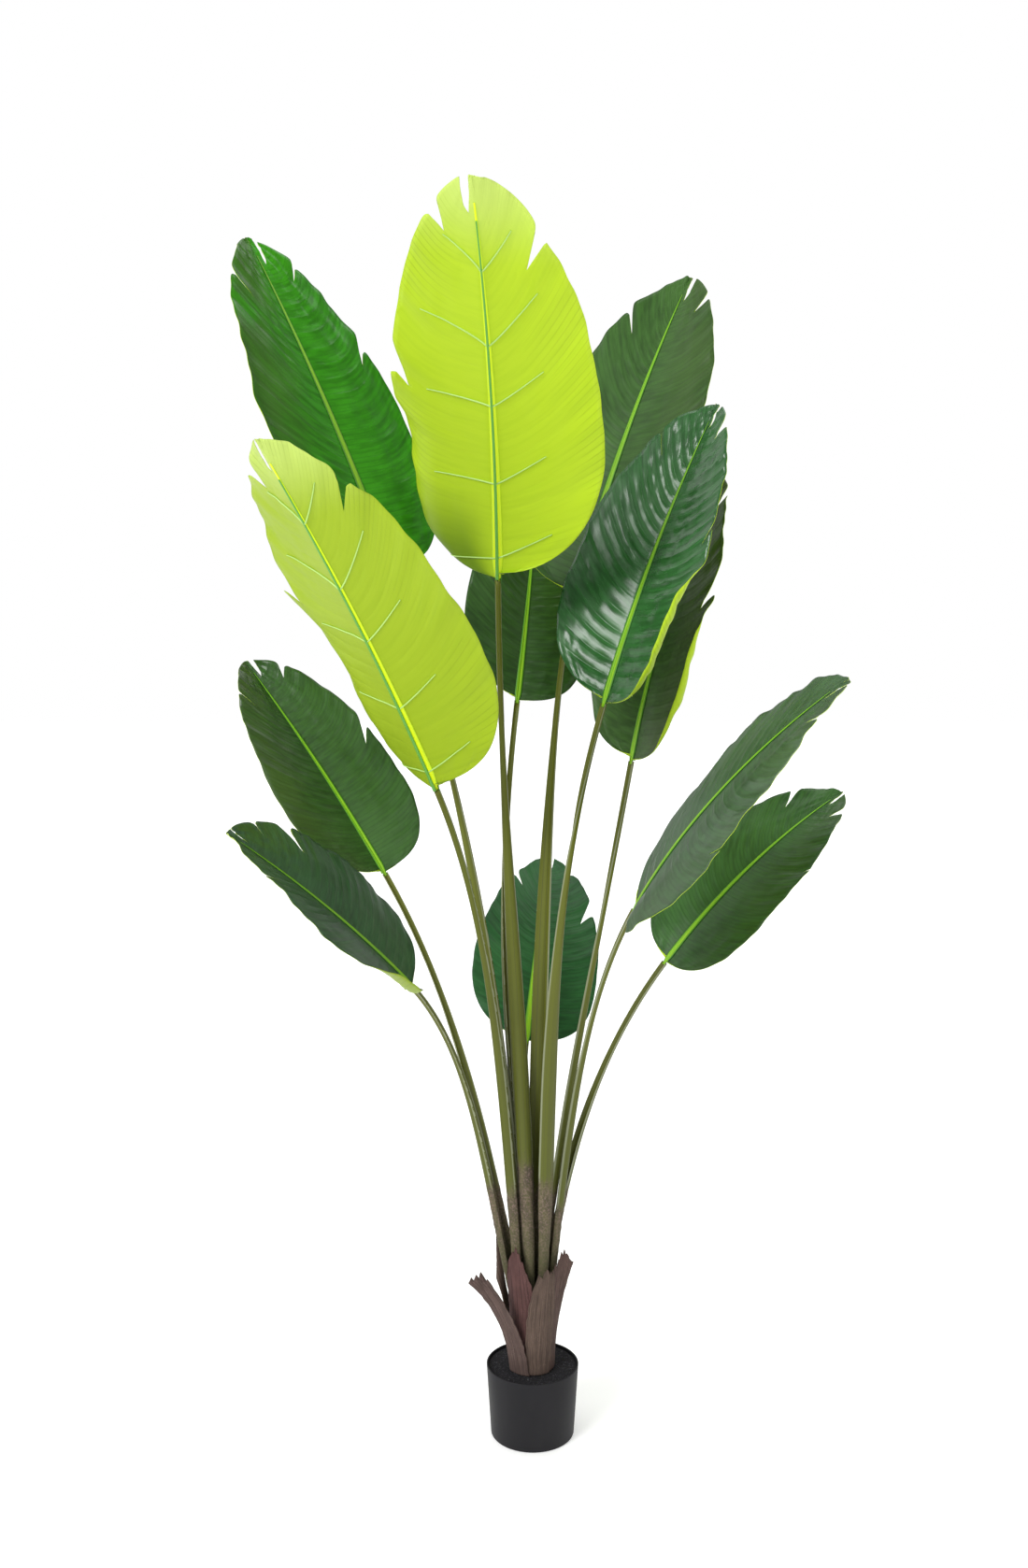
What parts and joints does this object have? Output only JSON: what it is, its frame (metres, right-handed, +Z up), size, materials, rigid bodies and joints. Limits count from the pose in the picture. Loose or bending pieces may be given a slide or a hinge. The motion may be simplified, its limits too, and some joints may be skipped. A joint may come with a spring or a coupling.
{
  "type": "artificial traveller's palm",
  "caption": "Tall artificial traveller's palm: broad oval leaves on long channelled stems that rise from a short sheathed trunk in a small plain tapered pot.",
  "frame": {"origin": "centre of the pot's flat underside", "axes": "+Z up; -Y is the plant's front, the side that the picture shows; +X is its right there"},
  "size_m": [1.0817, 0.93, 2.1021],
  "materials": {
    "pot": "plain black, matte",
    "filling": "rough, near black",
    "trunk": "dull brown",
    "sheath": "fibrous, dry brown",
    "stem": "olive, satin, with brown painted over the foot",
    "leaf": "coated cloth, glossy green above and pale lime below"
  },
  "bodies": {
    "root": {"pot": "pot", "filling": "filling", "trunk": "trunk", "sheath_front_left": "sheath", "sheath_front_right": "sheath", "sheath_inner": "sheath", "sheath_right": "sheath", "sheath_back": "sheath", "sheath_left": "sheath", "stem_top": "stem", "stem_upper_left": "stem", "stem_upper_right": "stem", "stem_front_left": "stem", "stem_front_right": "stem", "stem_back": "stem", "stem_right": "stem", "stem_left": "stem", "stem_low_left": "stem", "stem_mid_right": "stem", "stem_low_right": "stem", "stem_low_back": "stem", "leaf_top": "leaf", "leaf_upper_left": "leaf", "leaf_upper_right": "leaf", "leaf_front_left": "leaf", "leaf_front_right": "leaf", "leaf_back": "leaf", "leaf_right": "leaf", "leaf_left": "leaf", "leaf_low_left": "leaf", "leaf_mid_right": "leaf", "leaf_low_right": "leaf", "leaf_low_back": "leaf"}
  },
  "joints": []
}
